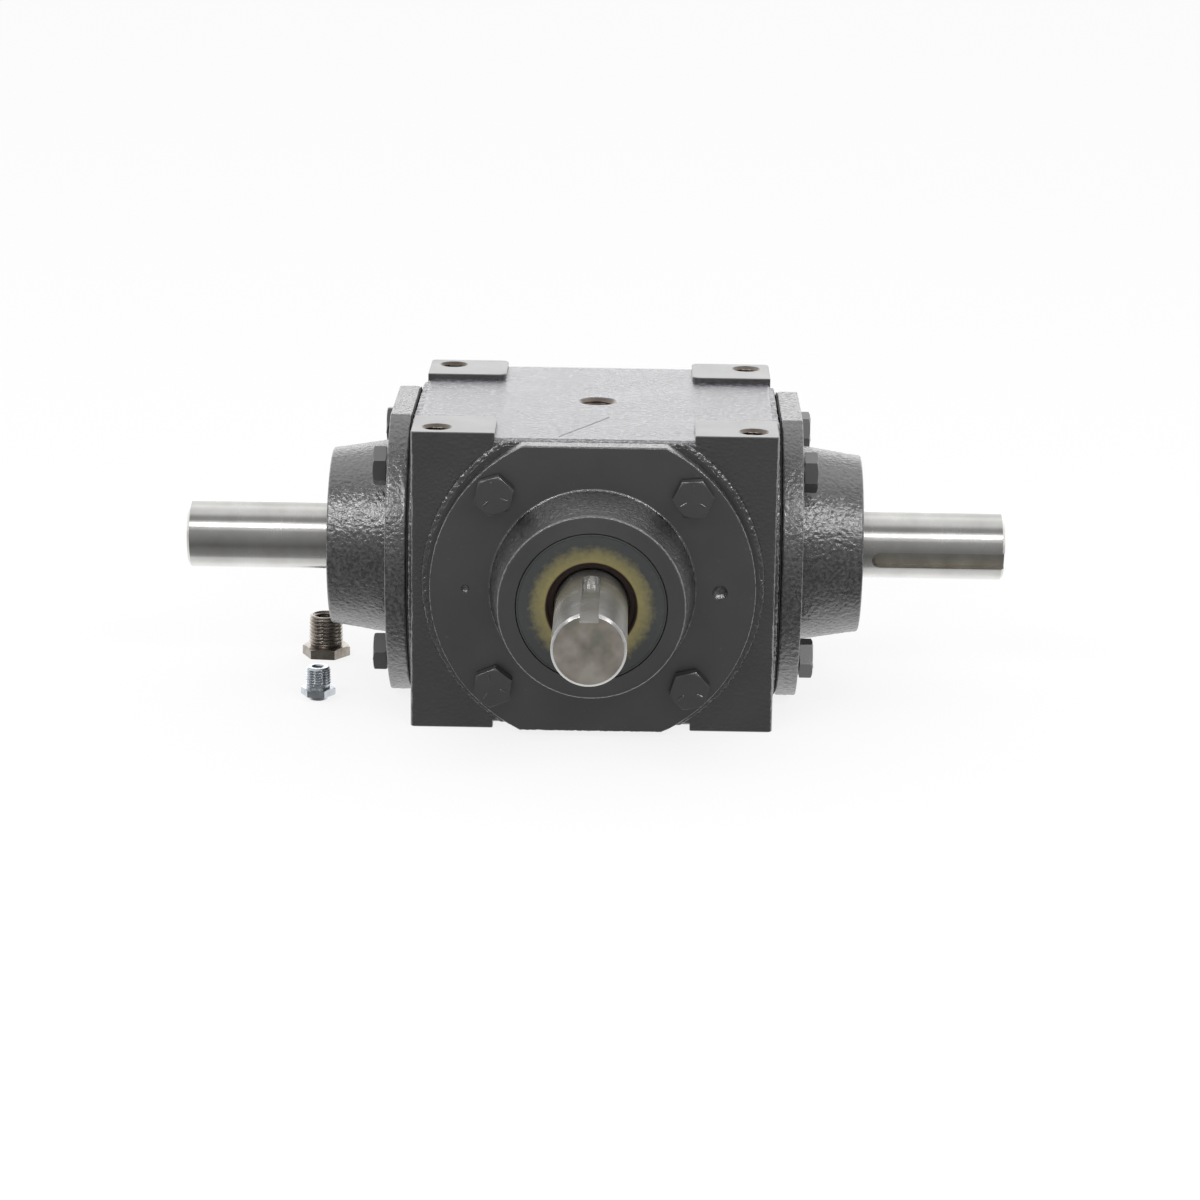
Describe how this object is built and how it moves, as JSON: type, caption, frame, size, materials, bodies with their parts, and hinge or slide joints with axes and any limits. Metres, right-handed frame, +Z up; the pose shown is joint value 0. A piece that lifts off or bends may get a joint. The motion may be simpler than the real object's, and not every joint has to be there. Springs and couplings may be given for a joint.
{
  "type": "right angle bevel gearbox",
  "caption": "Right angle bevel gearbox: cast cube housing, keyed front input shaft and through shaft, bolted bearing caps, lip seals, mitre gears, and a loose vent plug and reducer bushing.",
  "frame": {"origin": "centre of the whole part's footprint, on the surface that the base pads stand on", "axes": "+X along the through shaft to the right, -Y out along the input shaft, +Z up through the vent port"},
  "size_m": [0.3016, 0.2154, 0.108],
  "materials": {
    "black_paint": "semi-gloss black paint over rough casting, smooth on machined faces",
    "ground_steel": "turned and ground steel",
    "gear_steel": "oiled machined steel",
    "bearing_steel": "polished bearing steel",
    "seal_rubber": "amber to black seal rubber",
    "gasket_paper": "dark gasket sheet",
    "zinc_plate": "bright zinc plate",
    "dark_steel": "plain brownish steel"
  },
  "bodies": {
    "housing": {"housing": "black_paint", "left_cap": "black_paint", "left_gasket": "gasket_paper", "left_seal": "seal_rubber", "left_seal_spring": "bearing_steel", "right_cap": "black_paint", "right_gasket": "gasket_paper", "right_seal": "seal_rubber", "right_seal_spring": "bearing_steel", "input_cap": "black_paint", "input_gasket": "gasket_paper", "input_seal": "seal_rubber", "input_seal_spring": "bearing_steel", "left_cap_bolt_1": "black_paint", "left_cap_bolt_2": "black_paint", "left_cap_bolt_3": "black_paint", "left_cap_bolt_4": "black_paint", "right_cap_bolt_1": "black_paint", "right_cap_bolt_2": "black_paint", "right_cap_bolt_3": "black_paint", "right_cap_bolt_4": "black_paint", "input_cap_bolt_1": "black_paint", "input_cap_bolt_2": "black_paint", "input_cap_bolt_3": "black_paint", "input_cap_bolt_4": "black_paint", "left_bearing_cup": "bearing_steel", "right_bearing_cup": "bearing_steel", "input_inner_bearing_cup": "bearing_steel", "input_outer_bearing_cup": "bearing_steel", "drain_plug": "dark_steel", "level_plug": "dark_steel"},
    "through_shaft": {"through_shaft": "ground_steel", "crown_gear": "gear_steel", "crown_gear_key": "gear_steel", "crown_gear_ring": "gear_steel", "crown_gear_spacer": "gear_steel", "left_bearing_cone": "bearing_steel", "right_bearing_cone": "bearing_steel"},
    "input_shaft": {"input_shaft": "ground_steel", "input_gear": "gear_steel", "input_gear_key": "gear_steel", "input_gear_ring": "gear_steel", "input_cone_spacer": "gear_steel", "input_bearing_ring": "gear_steel", "input_inner_bearing_cone": "bearing_steel", "input_outer_bearing_cone": "bearing_steel"},
    "left_rollers": {"left_bearing_rollers": "bearing_steel"},
    "right_rollers": {"right_bearing_rollers": "bearing_steel"},
    "input_inner_rollers": {"input_inner_bearing_rollers": "bearing_steel"},
    "input_outer_rollers": {"input_outer_bearing_rollers": "bearing_steel"},
    "vent_plug": {"vent_plug": "zinc_plate"},
    "reducer_bushing": {"reducer_bushing": "dark_steel"}
  },
  "joints": [
    {"name": "through_shaft_spin", "type": "hinge", "parent": "housing", "child": "through_shaft", "pos_m": [0, 0.04305, 0.054], "axis": [1, 0, 0], "continuous": true},
    {"name": "input_shaft_spin", "type": "hinge", "parent": "housing", "child": "input_shaft", "pos_m": [0, 0.04305, 0.054], "axis": [0, -1, 0], "continuous": true},
    {"name": "left_rollers_spin", "type": "hinge", "parent": "housing", "child": "left_rollers", "pos_m": [0, 0.04305, 0.054], "axis": [1, 0, 0], "continuous": true},
    {"name": "right_rollers_spin", "type": "hinge", "parent": "housing", "child": "right_rollers", "pos_m": [0, 0.04305, 0.054], "axis": [1, 0, 0], "continuous": true},
    {"name": "input_inner_rollers_spin", "type": "hinge", "parent": "housing", "child": "input_inner_rollers", "pos_m": [0, 0.04305, 0.054], "axis": [0, -1, 0], "continuous": true},
    {"name": "input_outer_rollers_spin", "type": "hinge", "parent": "housing", "child": "input_outer_rollers", "pos_m": [0, 0.04305, 0.054], "axis": [0, -1, 0], "continuous": true},
    {"name": "vent_plug_lift", "type": "slide", "parent": "housing", "child": "vent_plug", "axis": [-0.6, 0, 0.8], "range_m": [0, 0.12]},
    {"name": "reducer_bushing_lift", "type": "slide", "parent": "housing", "child": "reducer_bushing", "axis": [-0.6, 0, 0.8], "range_m": [0, 0.12]}
  ],
  "couplings": [
    {"joint": "input_shaft_spin", "follows": "through_shaft_spin", "ratio": -1},
    {"joint": "left_rollers_spin", "follows": "through_shaft_spin", "ratio": 0.431},
    {"joint": "right_rollers_spin", "follows": "through_shaft_spin", "ratio": 0.431},
    {"joint": "input_inner_rollers_spin", "follows": "through_shaft_spin", "ratio": -0.431},
    {"joint": "input_outer_rollers_spin", "follows": "through_shaft_spin", "ratio": -0.431}
  ]
}
